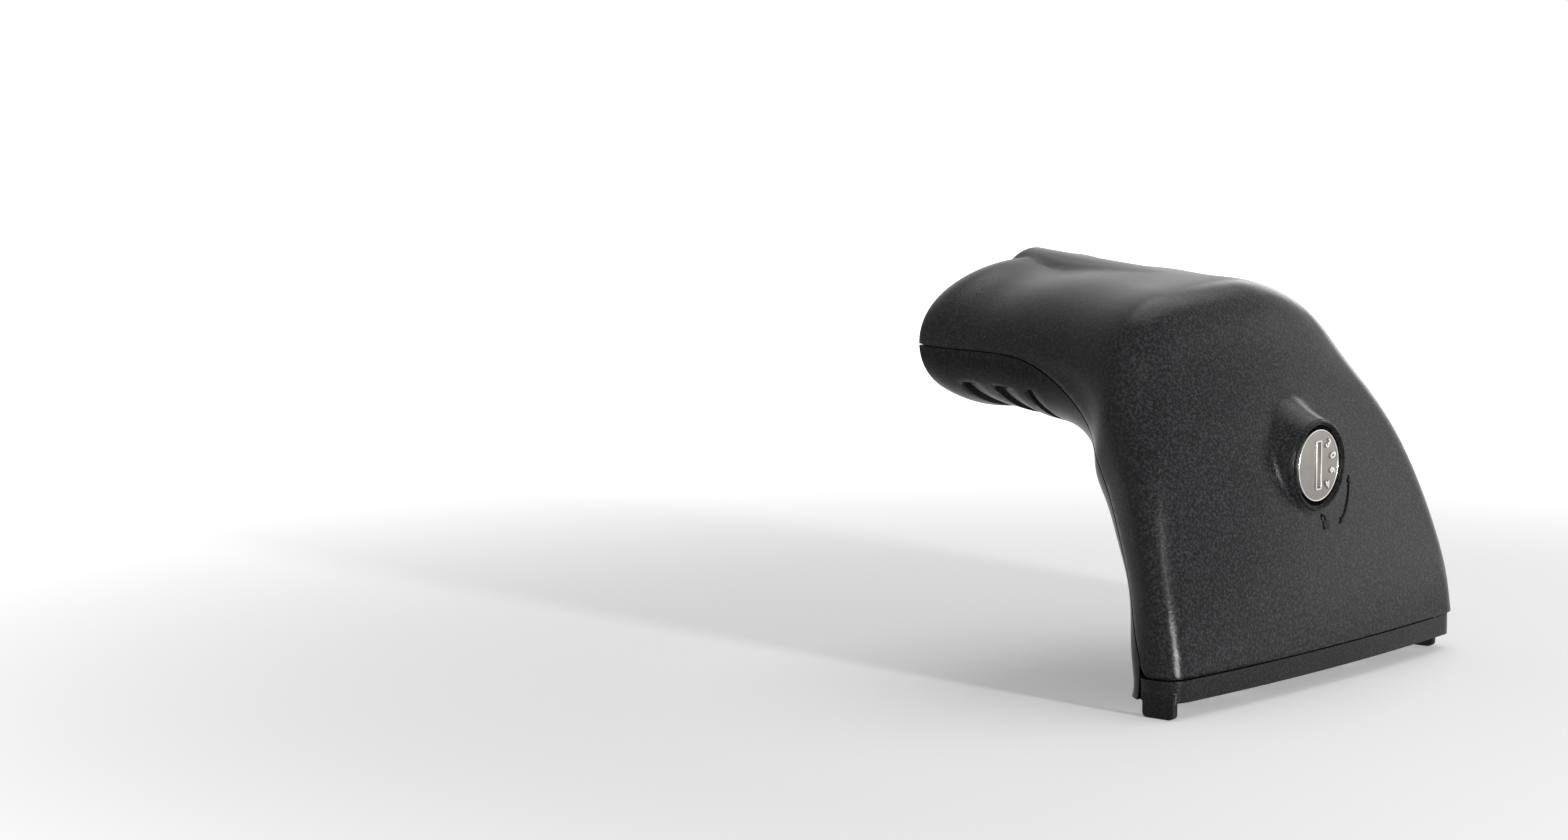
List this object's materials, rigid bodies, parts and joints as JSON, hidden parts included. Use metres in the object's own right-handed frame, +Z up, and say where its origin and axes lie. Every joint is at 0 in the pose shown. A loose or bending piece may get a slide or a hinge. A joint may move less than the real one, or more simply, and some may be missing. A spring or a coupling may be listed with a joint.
{
  "type": "roof bar foot",
  "caption": "Lockable roof bar foot with a moulded cover, a slotted sleeve for an aero bar and a bolted base for fixed roof points.",
  "frame": {"origin": "centre of the base's underside, on the car's roof", "axes": "+Z up from the roof, +X outboard from the car's middle, +Y to the rear of the car, so the bar's socket opens towards -X"},
  "size_m": [0.0877, 0.1228, 0.0979],
  "materials": {
    "cover_plastic": "fine grained mould texture, matt",
    "shell_plastic": "fine grained mould texture, matt",
    "shoe_plastic": "smooth moulded, matt",
    "pad_rubber": "matt moulded rubber",
    "casting_aluminium": "die cast, tumbled",
    "lock_metal": "satin nickel plating",
    "lock_body": "smooth black moulding",
    "wafer_brass": "stamped",
    "screw_steel": "zinc plated"
  },
  "bodies": {
    "leg": {"leg_casting": "casting_aluminium", "under_shell": "shell_plastic", "base_shoe": "shoe_plastic", "roof_pad": "pad_rubber", "bar_bumper": "pad_rubber", "catch_plate": "screw_steel", "catch_screws": "screw_steel", "clamp_washer": "screw_steel", "shoe_screws": "screw_steel", "shell_screws": "screw_steel"},
    "cover": {"cover": "cover_plastic", "lock_housing": "lock_body", "lock_clip": "screw_steel"},
    "lock_plug": {"lock_barrel": "lock_metal", "lock_wafers": "wafer_brass", "lock_cam": "screw_steel", "cam_screw": "screw_steel"},
    "clamp_screw": {"clamp_screw": "screw_steel"},
    "clamp_wedge": {"clamp_wedge": "screw_steel"},
    "clamp_shoe": {"clamp_shoe": "casting_aluminium"}
  },
  "joints": [
    {"name": "cover_lift", "type": "slide", "parent": "leg", "child": "cover", "axis": [0.7071, 0, 0.7071], "range_m": [0, 0.12]},
    {"name": "lock_turn", "type": "hinge", "parent": "cover", "child": "lock_plug", "pos_m": [0, 0.001, 0.0479], "axis": [-1, 0, 0], "range_deg": [0, 90]},
    {"name": "wedge_slide", "type": "slide", "parent": "leg", "child": "clamp_wedge", "axis": [1, 0, 0], "range_m": [0, 0.005]},
    {"name": "clamp_screw_turn", "type": "hinge", "parent": "leg", "child": "clamp_screw", "pos_m": [-0.03, 0, 0.0749], "axis": [-1, 0, 0], "range_deg": [0, 1800]},
    {"name": "shoe_slide", "type": "slide", "parent": "leg", "child": "clamp_shoe", "axis": [0, 0, -1], "range_m": [0, 0.00106]}
  ],
  "couplings": [
    {"joint": "clamp_screw_turn", "follows": "wedge_slide", "rad_per_m": 6283.2},
    {"joint": "shoe_slide", "follows": "wedge_slide", "ratio": 0.21256}
  ]
}
